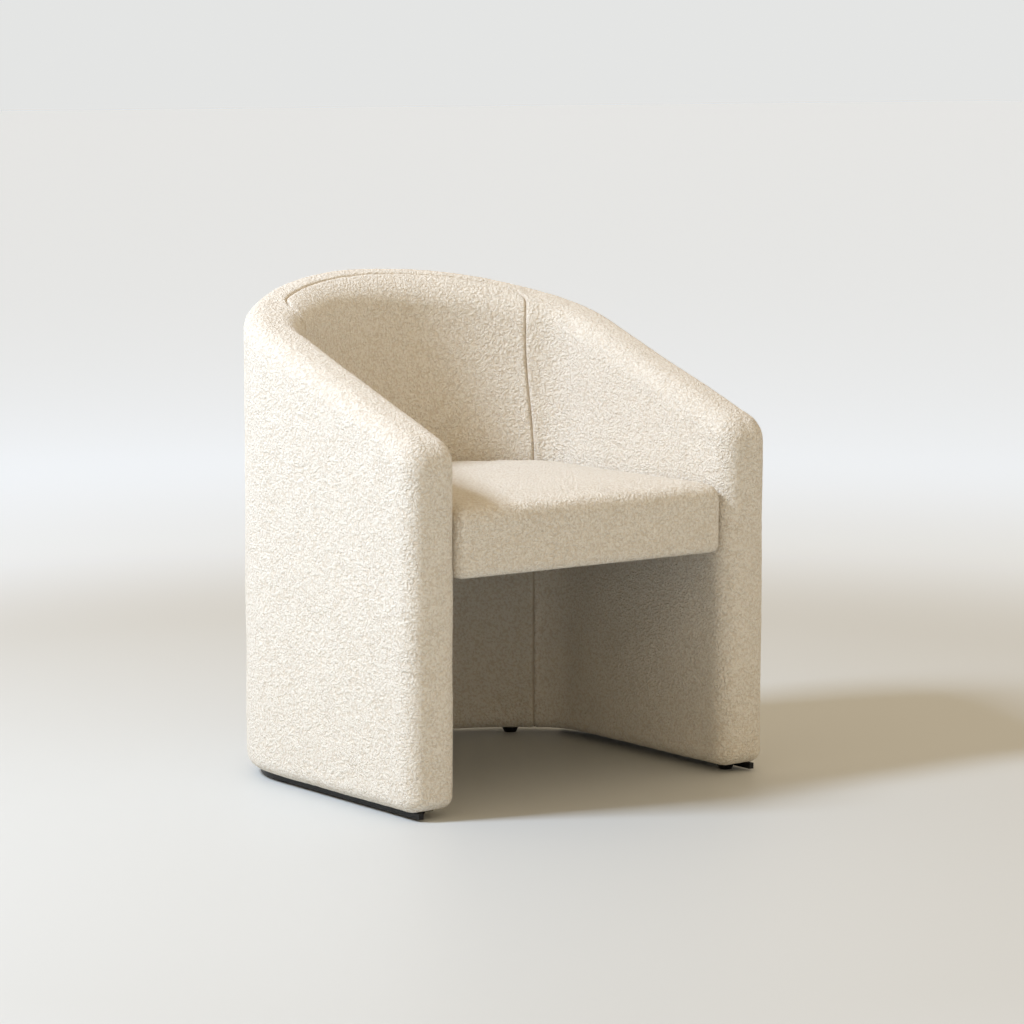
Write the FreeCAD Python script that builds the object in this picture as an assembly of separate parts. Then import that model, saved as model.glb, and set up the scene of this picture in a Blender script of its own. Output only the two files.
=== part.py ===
"""Barrel armchair: a curved upholstered wall on a timber frame, with a bolted seat box.

Frame of reference: millimetres, +Z up, the chair faces -Y, origin on the floor below the
middle of the chair's plan.

The wall is a U in plan. Its lines are measured by their depth, which is the distance in from
the wall's outer face: cover 0, foam, panel, ribs, panel, foam, and the inner face at WALL.
The crest is one flat slope, from the arm height at the front up to the back height.
"""
import FreeCAD, Part
import math
import os

Vector = FreeCAD.Vector

# ---------------------------------------------------------------- driving dimensions
OVERALL_WIDTH = 670.0
OVERALL_DEPTH = 616.0
BACK_HEIGHT = 763.0          # heights of the crest plane, before its edges are rounded
ARM_HEIGHT = 540.0
WALL = 85.0
FLOOR_GAP = 12.0

CORNER_RADIUS = 163.0        # outer face, where a side turns into the back
CORNER_SWEEP = 45.0          # degrees that each corner arc turns before the flatter back arc
POST_EDGE_RADIUS = 32.0
CREST_EDGE_RADIUS = 30.0
HEM_EDGE_RADIUS = 16.0

COVER = 3.0
OUTER_FOAM = 10.0
INNER_FOAM = 20.0
CREST_FOAM = 20.0
POST_FOAM = 14.0
PANEL = 3.0
PANEL_RISE = 3.0             # keeps a panel's lower edge above the rounded hem
DUST_CLOTH = 1.5
HEM_WIDTH = 26.0
HEM_CLEARANCE = 1.0

PLYWOOD = 18.0
POST_WIDTH = 40.0
STUD_WIDTH = 30.0
CORNER_STUD_ANGLE = 40.0     # degrees round the corner arc, from the chair's side

SEAM_ANGLE = 60.0            # degrees round the corner arc, from the chair's side
CREST_SEAM_DEPTH = 47.0

SEAT_TOP = 452.0
SEAT_THICKNESS = 108.0
SEAT_GAP = 1.0
SEAT_SETBACK = 1.0
SEAT_CORNER_RADIUS = 16.0
SEAT_EDGE_RADIUS = 14.0
SEAT_FRONT_PAD = 15.0
SEAT_WADDING = 5.0
INSULATOR = 4.0
RAIL_HEIGHT = 40.0
RAIL_THICKNESS = 25.0
BLOCK_LEG = 60.0
DOWEL_RADIUS = 4.0
DOWEL_LENGTH = 40.0

SPRING_WIRE_RADIUS = 1.8
SPRING_COUNT = 5
SPRING_SPACING = 80.0
SPRING_BAR = 26.0
SPRING_PITCH = 24.0
CLIP_WIDTH = 18.0
CLIP_DEPTH = 14.0
CLIP_HEIGHT = 6.0
CLIP_LEAF = 0.8              # the clip's lower leaf, between the wire and the rail

CLEAT_HEIGHT = 45.0
CLEAT_RECESS = 4.0           # room for the tee nuts' flanges behind the outer panel
BOLT_CLEARANCE = 12.0        # from a front corner block to the first side bolt's washer
REAR_BOLT_INSET = 60.0       # from the start of a corner arc forward to the second side bolt
BACK_BOLT_ANGLE = 14.0       # degrees to each side of the middle of the back
CLEAT_ANGLE_MARGIN = 6.0
BOLT_RADIUS = 3.9
BOLT_HOLE_RADIUS = 4.3
BOLT_HEAD_RADIUS = 7.0
BOLT_HEAD_HEIGHT = 5.3
WASHER_RADIUS = 10.0
WASHER_THICKNESS = 2.0
SPACER_RADIUS = 10.0
SPACER_CLEARANCE = 0.3
TEE_FLANGE_RADIUS = 10.0
TEE_FLANGE = 1.5
TEE_BARREL_RADIUS = 5.2
TEE_BARREL = 10.0

PLINTH_INSET = 19.0
PLINTH_THICKNESS = 8.0
PLINTH_FLOOR_GAP = 3.0
PLINTH_FRONT_INSET = 10.0
PLINTH_SWEEP = 33.0          # degrees round the corner arc that the strip follows
GLIDE_TOP_RADIUS = 15.0
GLIDE_FOOT_RADIUS = 10.0
GLIDE_CLEARANCE = 0.5
GLIDE_FRONT_INSET = 49.0
GLIDE_REAR_ANGLE = 70.0
SCREW_RADIUS = 2.0
SCREW_HEAD_RADIUS = 3.6
SCREW_HEAD = 2.0
FRAME_SCREW_LENGTH = 65.0
GLIDE_SCREW_LENGTH = 28.0
PLINTH_SCREW_LENGTH = 20.0
PLINTH_SCREW_COUNT = 3
PLINTH_SCREW_MARGIN = 45.0

# ---------------------------------------------------------------- derived sizes
SWEEP = math.radians(CORNER_SWEEP)
FRONT_Y = -OVERALL_DEPTH / 2
CORNER_X = OVERALL_WIDTH / 2 - CORNER_RADIUS
BACK_RADIUS = CORNER_RADIUS + CORNER_X / math.cos(SWEEP)
BACK_Y = OVERALL_DEPTH / 2 - BACK_RADIUS
CORNER_Y = BACK_Y + CORNER_X * math.tan(SWEEP)
CREST_SLOPE = (BACK_HEIGHT - ARM_HEIGHT) / OVERALL_DEPTH
CREST_ANGLE = math.atan(CREST_SLOPE)
REACH = 2 * (OVERALL_WIDTH + OVERALL_DEPTH + BACK_HEIGHT)

COVER_BOTTOM = FLOOR_GAP
FRAME_BOTTOM = FLOOR_GAP + COVER
RIB_TOP = FRAME_BOTTOM + PLYWOOD
OUTER_PANEL_DEPTH = COVER + OUTER_FOAM
FRAME_OUTER = OUTER_PANEL_DEPTH + PANEL
INNER_PANEL_DEPTH = WALL - COVER - INNER_FOAM
FRAME_INNER = INNER_PANEL_DEPTH - PANEL
FRAME_MIDDLE = (FRAME_OUTER + FRAME_INNER) / 2
FRAME_FRONT = COVER + POST_FOAM
RAIL_CREST_DEPTH = COVER + CREST_FOAM
FRAME_CREST_DEPTH = RAIL_CREST_DEPTH + PLYWOOD

SEAT_BOTTOM = SEAT_TOP - SEAT_THICKNESS
SEAT_DEPTH = WALL + SEAT_GAP
RAIL_DEPTH = SEAT_DEPTH + COVER
RAIL_INNER_DEPTH = RAIL_DEPTH + RAIL_THICKNESS
RAIL_BOTTOM = SEAT_BOTTOM + COVER
RAIL_TOP = RAIL_BOTTOM + RAIL_HEIGHT
RAIL_FRONT = SEAT_SETBACK + COVER + SEAT_FRONT_PAD
INSULATOR_BOTTOM = RAIL_TOP + CLIP_HEIGHT
SEAT_FOAM_BOTTOM = INSULATOR_BOTTOM + INSULATOR
SEAT_FOAM_TOP = SEAT_TOP - COVER - SEAT_WADDING
BOLT_Z = RAIL_BOTTOM + RAIL_HEIGHT / 2
SEAT_RIB_TOP = BOLT_Z - CLEAT_HEIGHT / 2
CLEAT_OUTER = FRAME_OUTER + CLEAT_RECESS
BLOCK_FRONT = FRONT_Y + RAIL_FRONT + RAIL_THICKNESS
FRONT_BOLT_Y = BLOCK_FRONT + BLOCK_LEG + BOLT_CLEARANCE + WASHER_RADIUS
REAR_BOLT_Y = CORNER_Y - REAR_BOLT_INSET
SIDE_STUD_Y = (FRONT_BOLT_Y + REAR_BOLT_Y) / 2
GLIDE_TOP = FRAME_BOTTOM - DUST_CLOTH
GLIDE_DEPTH = PLINTH_INSET + PLINTH_THICKNESS + GLIDE_CLEARANCE + GLIDE_TOP_RADIUS


# ---------------------------------------------------------------- plan lines
def line(start, end):
    """Straight edge in the XY plane."""
    return Part.makeLine(Vector(*start, 0), Vector(*end, 0))


def polar(centre, radius, degrees):
    """Point at an angle round a centre, as (x, y)."""
    angle = math.radians(degrees)
    return centre[0] + radius * math.cos(angle), centre[1] + radius * math.sin(angle)


def arc(centre, radius, start, end):
    """Arc in the XY plane between two angles in degrees."""
    points = [Vector(*polar(centre, radius, a), 0) for a in (start, (start + end) / 2, end)]
    return Part.Arc(*points).toShape()


def u_line(depth, front_y):
    """The wall's line at one depth: side, corner arc, back arc, corner arc, side."""
    x = OVERALL_WIDTH / 2 - depth
    corner = CORNER_RADIUS - depth
    return [
        line((x, front_y), (x, CORNER_Y)),
        arc((CORNER_X, CORNER_Y), corner, 0, CORNER_SWEEP),
        arc((0, BACK_Y), BACK_RADIUS - depth, CORNER_SWEEP, 180 - CORNER_SWEEP),
        arc((-CORNER_X, CORNER_Y), corner, 180 - CORNER_SWEEP, 180),
        line((-x, CORNER_Y), (-x, front_y)),
    ]


def front_end(x_low, x_high, front_y, radius):
    """Closes a front end between two lines of the wall, with rounded corners."""
    if radius <= 0:
        return [line((x_low, front_y), (x_high, front_y))]
    return [
        arc((x_low + radius, front_y + radius), radius, 180, 270),
        line((x_low + radius, front_y), (x_high - radius, front_y)),
        arc((x_high - radius, front_y + radius), radius, 270, 360),
    ]


def prism(edges, bottom, top):
    """Solid between two heights over a closed outline."""
    face = Part.Face(Part.Wire(Part.__sortEdges__(edges)))
    face.translate(Vector(0, 0, bottom))
    return face.extrude(Vector(0, 0, top - bottom))


def polygon_prism(points, bottom, top):
    """Solid between two heights over a polygon."""
    corners = list(points) + [points[0]]
    return prism([line(a, b) for a, b in zip(corners, corners[1:])], bottom, top)


# ---------------------------------------------------------------- wall and seat bodies
def crest_z(y, depth=0.0):
    """Height of the sloping crest plane, or of a plane at a depth below it."""
    return ARM_HEIGHT + CREST_SLOPE * (y - FRONT_Y) - depth / math.cos(CREST_ANGLE)


def below_crest(depth):
    """Everything under the plane at a depth below the crest."""
    low, high = -REACH, REACH
    corners = [(low, -REACH), (high, -REACH), (high, crest_z(high, depth)), (low, crest_z(low, depth))]
    points = [Vector(-REACH, y, z) for y, z in corners]
    face = Part.Face(Part.makePolygon(points + [points[0]]))
    return face.extrude(Vector(2 * REACH, 0, 0))


def wall_prism(outer, inner, front, bottom, top, edge_radius=0.0):
    """Upright U between two depths, from a distance behind the wall's front."""
    front_y = FRONT_Y + front
    x_outer = OVERALL_WIDTH / 2 - outer
    x_inner = OVERALL_WIDTH / 2 - inner
    edges = u_line(outer, front_y + edge_radius) + u_line(inner, front_y + edge_radius)
    edges += front_end(x_inner, x_outer, front_y, edge_radius)
    edges += front_end(-x_outer, -x_inner, front_y, edge_radius)
    return prism(edges, bottom, top)


def wall_under_crest(outer, inner, front, bottom, crest_depth, edge_radius=0.0):
    """Upright U between two depths, cut off by the plane at a depth below the crest."""
    tall = wall_prism(outer, inner, front, bottom, BACK_HEIGHT + 1, edge_radius)
    return tall.common(below_crest(crest_depth))


def round_where(shape, radius, is_chosen):
    """Fillets the edges whose every sampled point passes the test."""
    chosen = [e for e in shape.Edges if all(is_chosen(p) for p in e.discretize(5))]
    return shape.makeFillet(radius, chosen)


def wall_body(inset):
    """The finished wall with all its rounded edges, or the same body shrunk by an inset."""
    bottom = COVER_BOTTOM + inset
    body = wall_under_crest(inset, WALL - inset, inset, bottom, inset, POST_EDGE_RADIUS - inset)
    body = round_where(body, CREST_EDGE_RADIUS - inset, lambda p: abs(p.z - crest_z(p.y, inset)) < 0.01)
    return round_where(body, HEM_EDGE_RADIUS - inset, lambda p: abs(p.z - bottom) < 0.01)


def seat_prism(depth, front, bottom, top, corner_radius=0.0):
    """Upright block over the D-shaped plan inside the wall's line at a depth."""
    front_y = FRONT_Y + front
    x = OVERALL_WIDTH / 2 - depth
    edges = u_line(depth, front_y + corner_radius) + front_end(-x, x, front_y, corner_radius)
    return prism(edges, bottom, top)


def seat_body(inset):
    """The finished seat box with its rounded edges, or the same box shrunk by an inset."""
    bottom = SEAT_BOTTOM + inset
    top = SEAT_TOP - inset
    body = seat_prism(SEAT_DEPTH + inset, SEAT_SETBACK + inset, bottom, top, SEAT_CORNER_RADIUS - inset)
    body = round_where(body, SEAT_EDGE_RADIUS - inset, lambda p: abs(p.z - top) < 0.01)
    return round_where(body, SEAT_EDGE_RADIUS - inset, lambda p: abs(p.z - bottom) < 0.01)


def back_zone(bottom, top):
    """Prism over the back of the plan, between the two upright seams."""
    right = polar((CORNER_X, CORNER_Y), REACH, SEAM_ANGLE)
    left = polar((-CORNER_X, CORNER_Y), REACH, 180 - SEAM_ANGLE)
    return polygon_prism([(-CORNER_X, CORNER_Y), (CORNER_X, CORNER_Y), right, left], bottom, top)


def side_zone(side):
    """Everything on one side of the chair's middle: side 1 is +X, side -1 is -X."""
    return Part.makeBox(REACH, 2 * REACH, 2 * REACH, Vector(min(0, side * REACH), -REACH, -REACH))


# ---------------------------------------------------------------- stations round the wall
def side_station(side, y):
    """Point on the wall's outer face at a side, with the direction inwards."""
    return (side * OVERALL_WIDTH / 2, y), (-side, 0.0)


def corner_station(side, degrees):
    """Point on a corner arc's outer face, counted from the chair's side towards the back."""
    angle = degrees if side > 0 else 180 - degrees
    return polar((side * CORNER_X, CORNER_Y), CORNER_RADIUS, angle), polar((0, 0), -1, angle)


def back_station(degrees):
    """Point on the back arc's outer face, counted from the middle of the back."""
    return polar((0, BACK_Y), BACK_RADIUS, 90 + degrees), polar((0, 0), -1, 90 + degrees)


def at_depth(station, depth):
    """Plan point at a depth behind a station."""
    (x, y), (dx, dy) = station
    return x + dx * depth, y + dy * depth


def level_cylinder(station, start, end, radius, z):
    """Cylinder that lies level, square to the wall, between two depths."""
    direction = Vector(*station[1], 0)
    return Part.makeCylinder(radius, end - start, Vector(*at_depth(station, start), z), direction)


def upright_cylinder(point, bottom, top, radius):
    """Cylinder that stands on a plan point."""
    return Part.makeCylinder(radius, top - bottom, Vector(*point, bottom))


def slice_at(station, width):
    """Upright slab of a width, square to the wall at a station."""
    (x, y), (dx, dy) = station
    half = width / 2
    near, far = -WALL, 2 * WALL
    corners = [(near, -half), (near, half), (far, half), (far, -half)]
    points = [(x + dx * d - dy * t, y + dy * d + dx * t) for d, t in corners]
    return polygon_prism(points, -REACH, REACH)


SIDES = (("left", -1), ("right", 1))
parts = {}

# ---------------------------------------------------------------- timber frame of the wall
POST_Y = FRONT_Y + FRAME_FRONT + POST_WIDTH / 2
stations = {"back_stud": (back_station(0), STUD_WIDTH)}
for name, side in SIDES:
    stations["front_post_" + name] = (side_station(side, POST_Y), POST_WIDTH)
    stations["side_stud_" + name] = (side_station(side, SIDE_STUD_Y), STUD_WIDTH)
    stations["corner_stud_" + name] = (corner_station(side, CORNER_STUD_ANGLE), STUD_WIDTH)

upright_ring = wall_under_crest(FRAME_OUTER, FRAME_INNER, FRAME_FRONT, RIB_TOP, FRAME_CREST_DEPTH)
uprights = {name: upright_ring.common(slice_at(*place)) for name, place in stations.items()}

base_rib = wall_prism(FRAME_OUTER, FRAME_INNER, FRAME_FRONT, FRAME_BOTTOM, RIB_TOP)
seat_rib = wall_prism(FRAME_OUTER, FRAME_INNER, FRAME_FRONT, SEAT_RIB_TOP - PLYWOOD, SEAT_RIB_TOP)
half_lap = wall_prism(FRAME_MIDDLE, FRAME_INNER, 0, SEAT_RIB_TOP - PLYWOOD, SEAT_RIB_TOP)
uprights = {name: upright.cut(half_lap) for name, upright in uprights.items()}
seat_rib = seat_rib.cut(list(uprights.values()))
crest_rail = wall_under_crest(FRAME_OUTER, FRAME_INNER, FRAME_FRONT, RIB_TOP, RAIL_CREST_DEPTH)
crest_rail = crest_rail.cut(below_crest(FRAME_CREST_DEPTH))

frame_screws = []
screw_holes = []
for station, width in stations.values():
    point = at_depth(station, FRAME_MIDDLE)
    top = crest_z(point[1], RAIL_CREST_DEPTH) - SCREW_HEAD
    low = top - FRAME_SCREW_LENGTH
    base_screw = upright_cylinder(point, FRAME_BOTTOM, FRAME_BOTTOM + FRAME_SCREW_LENGTH, SCREW_RADIUS)
    frame_screws += [base_screw, upright_cylinder(point, low, top, SCREW_RADIUS)]
    screw_holes += [base_screw, upright_cylinder(point, low, top + CREST_FOAM / 2, SCREW_RADIUS)]
for name, upright in uprights.items():
    parts[name] = upright.cut(screw_holes)
parts["frame_screws"] = Part.makeCompound(frame_screws)

outer_panel = wall_under_crest(
    OUTER_PANEL_DEPTH, FRAME_OUTER, FRAME_FRONT, FRAME_BOTTOM + PANEL_RISE, RAIL_CREST_DEPTH)
inner_panel = wall_under_crest(
    FRAME_INNER, INNER_PANEL_DEPTH, FRAME_FRONT, FRAME_BOTTOM + PANEL_RISE, RAIL_CREST_DEPTH)

# ---------------------------------------------------------------- seat bolts and what they hold
cleat_ring = wall_prism(CLEAT_OUTER, FRAME_INNER, FRAME_FRONT, SEAT_RIB_TOP, SEAT_RIB_TOP + CLEAT_HEIGHT)
cleat_gap = OVERALL_WIDTH / 2
cleats = {}
for name, side in SIDES:
    run = Part.makeBox(
        cleat_gap, CORNER_Y - POST_Y - POST_WIDTH / 2, REACH,
        Vector(min(0, side * cleat_gap), POST_Y + POST_WIDTH / 2, 0))
    cleats["seat_cleat_" + name] = cleat_ring.common(run)
fan = math.radians(BACK_BOLT_ANGLE + CLEAT_ANGLE_MARGIN)
fan_x = REACH * math.sin(fan)
fan_y = BACK_Y + REACH * math.cos(fan)
cleats["seat_cleat_back"] = cleat_ring.common(
    polygon_prism([(0, BACK_Y), (fan_x, fan_y), (-fan_x, fan_y)], 0, REACH))

bolt_stations = [side_station(side, y) for name, side in SIDES for y in (FRONT_BOLT_Y, REAR_BOLT_Y)]
bolt_stations += [back_station(angle) for angle in (-BACK_BOLT_ANGLE, BACK_BOLT_ANGLE)]


def hex_head(station, start, end, radius, z):
    """Hexagonal bolt head that lies level, square to the wall."""
    across = Vector(-station[1][1], station[1][0], 0)
    centre = Vector(*at_depth(station, start), z)
    angles = [math.radians(60 * i) for i in range(7)]
    corners = [centre + across * (radius * math.cos(a)) + Vector(0, 0, radius * math.sin(a)) for a in angles]
    return Part.Face(Part.makePolygon(corners)).extrude(Vector(*station[1], 0) * (end - start))


def bolt(station):
    """Seat bolt: shank from the tee nut to the washer, then the head inside the seat box."""
    head_start = RAIL_INNER_DEPTH + WASHER_THICKNESS
    shank = level_cylinder(station, CLEAT_OUTER, head_start, BOLT_RADIUS, BOLT_Z)
    head = hex_head(station, head_start, head_start + BOLT_HEAD_HEIGHT, BOLT_HEAD_RADIUS, BOLT_Z)
    return shank.fuse(head)


def washer(station):
    """Washer between the bolt's head and the seat rail."""
    end = RAIL_INNER_DEPTH + WASHER_THICKNESS
    disc = level_cylinder(station, RAIL_INNER_DEPTH, end, WASHER_RADIUS, BOLT_Z)
    return disc.cut(level_cylinder(station, RAIL_INNER_DEPTH, end, BOLT_HOLE_RADIUS, BOLT_Z))


def spacer(station):
    """Sleeve that carries the clamping load through the wall's padding."""
    tube = level_cylinder(station, FRAME_INNER, SEAT_DEPTH, SPACER_RADIUS, BOLT_Z)
    return tube.cut(level_cylinder(station, FRAME_INNER, SEAT_DEPTH, BOLT_HOLE_RADIUS, BOLT_Z))


def tee_nut(station):
    """Tee nut pressed into the outer face of a cleat."""
    flange = level_cylinder(station, CLEAT_OUTER - TEE_FLANGE, CLEAT_OUTER, TEE_FLANGE_RADIUS, BOLT_Z)
    barrel = level_cylinder(station, CLEAT_OUTER, CLEAT_OUTER + TEE_BARREL, TEE_BARREL_RADIUS, BOLT_Z)
    bore = level_cylinder(
        station, CLEAT_OUTER - TEE_FLANGE, CLEAT_OUTER + TEE_BARREL, BOLT_HOLE_RADIUS, BOLT_Z)
    return flange.fuse(barrel).cut(bore)


def bolt_holes(radius, start, end):
    """The same drilling at every bolt station."""
    return [level_cylinder(station, start, end, radius, BOLT_Z) for station in bolt_stations]


washers = [washer(station) for station in bolt_stations]
spacers = [spacer(station) for station in bolt_stations]
parts["seat_bolts"] = Part.makeCompound([bolt(station) for station in bolt_stations])
parts["seat_washers"] = Part.makeCompound(washers)
parts["seat_spacers"] = Part.makeCompound(spacers)
parts["tee_nuts"] = Part.makeCompound([tee_nut(station) for station in bolt_stations])

through_cleat = bolt_holes(BOLT_HOLE_RADIUS, CLEAT_OUTER, FRAME_INNER)
barrel_seats = bolt_holes(TEE_BARREL_RADIUS, CLEAT_OUTER, CLEAT_OUTER + TEE_BARREL)
through_padding = bolt_holes(SPACER_RADIUS + SPACER_CLEARANCE, FRAME_INNER, SEAT_DEPTH)
through_seat = bolt_holes(BOLT_HOLE_RADIUS, SEAT_DEPTH, RAIL_INNER_DEPTH)
for name, cleat in cleats.items():
    parts[name] = cleat.cut(list(uprights.values()) + through_cleat + barrel_seats + spacers)

upper_space = Part.makeBox(2 * REACH, 2 * REACH, REACH, Vector(-REACH, -REACH, SEAT_BOTTOM))
parts["outer_panel"] = outer_panel
parts["inner_panel_upper"] = inner_panel.common(upper_space).cut(through_padding)
parts["inner_panel_lower"] = inner_panel.cut(upper_space)

# ---------------------------------------------------------------- padding of the wall
padded_body = wall_body(COVER)
hard_core = wall_under_crest(OUTER_PANEL_DEPTH, INNER_PANEL_DEPTH, FRAME_FRONT, 0, RAIL_CREST_DEPTH)
padding = padded_body.cut(hard_core)
under_crest_foam = padding.common(below_crest(RAIL_CREST_DEPTH))
behind_posts = Part.makeBox(
    2 * REACH, REACH, 2 * REACH, Vector(-REACH, FRONT_Y + FRAME_FRONT, -REACH))
post_padding = under_crest_foam.cut(behind_posts)
side_padding = under_crest_foam.common(behind_posts)
outer_half = wall_prism(-WALL, WALL / 2, -WALL, 0, REACH)
outer_padding = side_padding.common(outer_half)
inner_padding = side_padding.cut(outer_half)
zone = back_zone(0, REACH)

parts["crest_foam"] = padding.cut(below_crest(RAIL_CREST_DEPTH))
for sheet, node in (
        (outer_padding, "outer_foam"),
        (inner_padding.common(upper_space).cut(through_padding), "arm_foam"),
        (inner_padding.cut(upper_space), "lower_foam")):
    back_name = "back_foam" if node == "arm_foam" else node + "_back"
    parts[back_name] = sheet.common(zone)
    for name, side in SIDES:
        parts[node + "_" + name] = sheet.cut(zone).common(side_zone(side))
for name, side in SIDES:
    parts["post_foam_" + name] = post_padding.common(side_zone(side))

# ---------------------------------------------------------------- glides and plinth strips
def plinth(side):
    """Strip under a side wall, from near its front and some way round the corner."""
    ring = wall_prism(
        PLINTH_INSET, PLINTH_INSET + PLINTH_THICKNESS, PLINTH_FRONT_INSET, PLINTH_FLOOR_GAP, FLOOR_GAP)
    tip = polar((CORNER_X, CORNER_Y), REACH, PLINTH_SWEEP)
    points = [(side * x, y) for x, y in ((CORNER_X, CORNER_Y), (CORNER_X, -REACH), (REACH, -REACH), tip)]
    return ring.common(polygon_prism(points, 0, FLOOR_GAP))


def glide(point):
    """Nail-on glide: a plug that tapers down to its foot."""
    foot = Part.makeCone(GLIDE_FOOT_RADIUS, GLIDE_TOP_RADIUS, FLOOR_GAP, Vector(*point, 0))
    return foot.fuse(upright_cylinder(point, FLOOR_GAP, GLIDE_TOP, GLIDE_TOP_RADIUS))


glide_points = {}
for name, side in SIDES:
    front_place = side_station(side, FRONT_Y + GLIDE_FRONT_INSET)
    rear_place = corner_station(side, GLIDE_REAR_ANGLE)
    glide_points["glide_front_" + name] = at_depth(front_place, GLIDE_DEPTH)
    glide_points["glide_rear_" + name] = at_depth(rear_place, GLIDE_DEPTH)

glide_screws = []
glide_room = []
for name, point in glide_points.items():
    screw = upright_cylinder(point, FLOOR_GAP, FLOOR_GAP + GLIDE_SCREW_LENGTH, SCREW_RADIUS)
    glide_screws.append(screw)
    glide_room.append(upright_cylinder(point, 0, FRAME_BOTTOM, GLIDE_TOP_RADIUS + GLIDE_CLEARANCE))
    parts[name] = glide(point).cut(screw)
parts["glide_screws"] = Part.makeCompound(glide_screws)

plinth_screws = []
plinth_run = CORNER_Y - FRONT_Y - PLINTH_FRONT_INSET - 2 * PLINTH_SCREW_MARGIN
for name, side in SIDES:
    for i in range(PLINTH_SCREW_COUNT):
        y = FRONT_Y + PLINTH_FRONT_INSET + PLINTH_SCREW_MARGIN + plinth_run * i / (PLINTH_SCREW_COUNT - 1)
        point = at_depth(side_station(side, y), PLINTH_INSET + PLINTH_THICKNESS / 2)
        foot = PLINTH_FLOOR_GAP
        shank = upright_cylinder(point, foot, foot + PLINTH_SCREW_LENGTH, SCREW_RADIUS)
        head = upright_cylinder(point, foot, foot + SCREW_HEAD, SCREW_HEAD_RADIUS)
        plinth_screws.append(shank.fuse(head))
    parts["plinth_" + name] = plinth(side).cut(plinth_screws)
parts["plinth_screws"] = Part.makeCompound(plinth_screws)

parts["base_rib"] = base_rib.common(padded_body).cut(screw_holes + glide_screws + plinth_screws)
parts["seat_rib"] = seat_rib.cut(screw_holes)
parts["crest_rail"] = crest_rail.cut(screw_holes)
for name in uprights:
    parts[name] = parts[name].cut(glide_screws)

# ---------------------------------------------------------------- covers of the wall
hem_opening = wall_prism(HEM_WIDTH, WALL - HEM_WIDTH, HEM_WIDTH, 0, FRAME_BOTTOM)
shell = wall_body(0).cut([padded_body, hem_opening])
shell = shell.cut(through_padding + glide_room + plinth_screws)
seam_ring = wall_prism(CREST_SEAM_DEPTH, 2 * WALL, -WALL, SEAT_BOTTOM, REACH)
lining_ring = wall_prism(WALL / 2, 2 * WALL, -WALL, 0, SEAT_BOTTOM)
inside_zone = zone.common(seam_ring)
lining_zone = zone.common(lining_ring)
parts["inside_back_cover"] = shell.common(inside_zone)
parts["lower_inside_cover"] = shell.common(lining_zone)
parts["outer_cover"] = shell.cut([inside_zone, lining_zone])
dust_edge = HEM_WIDTH + HEM_CLEARANCE
base_dust_cover = wall_prism(dust_edge, WALL - dust_edge, dust_edge, FRAME_BOTTOM - DUST_CLOTH, FRAME_BOTTOM)
parts["base_dust_cover"] = base_dust_cover.cut(glide_screws)

# ---------------------------------------------------------------- seat frame
seat_inside = seat_body(COVER)
rail_ring = seat_prism(RAIL_DEPTH, RAIL_FRONT, RAIL_BOTTOM, RAIL_TOP).common(seat_inside)
rail_ring = rail_ring.cut(seat_prism(RAIL_INNER_DEPTH, RAIL_FRONT + RAIL_THICKNESS, RAIL_BOTTOM, RAIL_TOP))
rail_front_y = FRONT_Y + RAIL_FRONT
rail_inner_x = OVERALL_WIDTH / 2 - RAIL_INNER_DEPTH
front_span = Part.makeBox(
    2 * rail_inner_x, RAIL_THICKNESS, REACH, Vector(-rail_inner_x, rail_front_y, 0))
behind_sides = Part.makeBox(2 * REACH, REACH, REACH, Vector(-REACH, CORNER_Y, 0))
side_rails = rail_ring.cut([front_span, behind_sides])

rail_middle_x = rail_inner_x + RAIL_THICKNESS / 2
front_rail_middle_y = rail_front_y + RAIL_THICKNESS / 2
dowels = []
for name, side in SIDES:
    for z in (RAIL_BOTTOM + RAIL_HEIGHT / 4, RAIL_TOP - RAIL_HEIGHT / 4):
        start = Vector(side * (rail_inner_x - DOWEL_LENGTH / 2), front_rail_middle_y, z)
        dowels.append(Part.makeCylinder(DOWEL_RADIUS, DOWEL_LENGTH, start, Vector(side, 0, 0)))
        start = Vector(side * rail_middle_x, CORNER_Y - DOWEL_LENGTH / 2, z)
        dowels.append(Part.makeCylinder(DOWEL_RADIUS, DOWEL_LENGTH, start, Vector(0, 1, 0)))
parts["rail_dowels"] = Part.makeCompound(dowels)
parts["seat_front_rail"] = rail_ring.common(front_span).cut(dowels)
parts["seat_back_rail"] = rail_ring.common(behind_sides).cut(dowels + through_seat + washers)
for name, side in SIDES:
    parts["seat_side_rail_" + name] = side_rails.common(side_zone(side)).cut(dowels + through_seat)

blocks = []
for name, side in SIDES:
    corner_x = side * rail_inner_x
    tip_x = side * (rail_inner_x - BLOCK_LEG)
    points = [(corner_x, BLOCK_FRONT), (tip_x, BLOCK_FRONT), (corner_x, BLOCK_FRONT + BLOCK_LEG)]
    blocks.append(polygon_prism(points, RAIL_BOTTOM, RAIL_TOP))
parts["corner_blocks"] = Part.makeCompound(blocks).cut(dowels)


# ---------------------------------------------------------------- springs
def u_line_y(depth, x):
    """Y of the wall's line at a depth, behind a point on the chair's width."""
    radius = BACK_RADIUS - depth
    if abs(x) <= radius * math.cos(SWEEP):
        return BACK_Y + math.sqrt(radius ** 2 - x ** 2)
    radius = CORNER_RADIUS - depth
    return CORNER_Y + math.sqrt(max(radius ** 2 - (abs(x) - CORNER_X) ** 2, 0))


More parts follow.
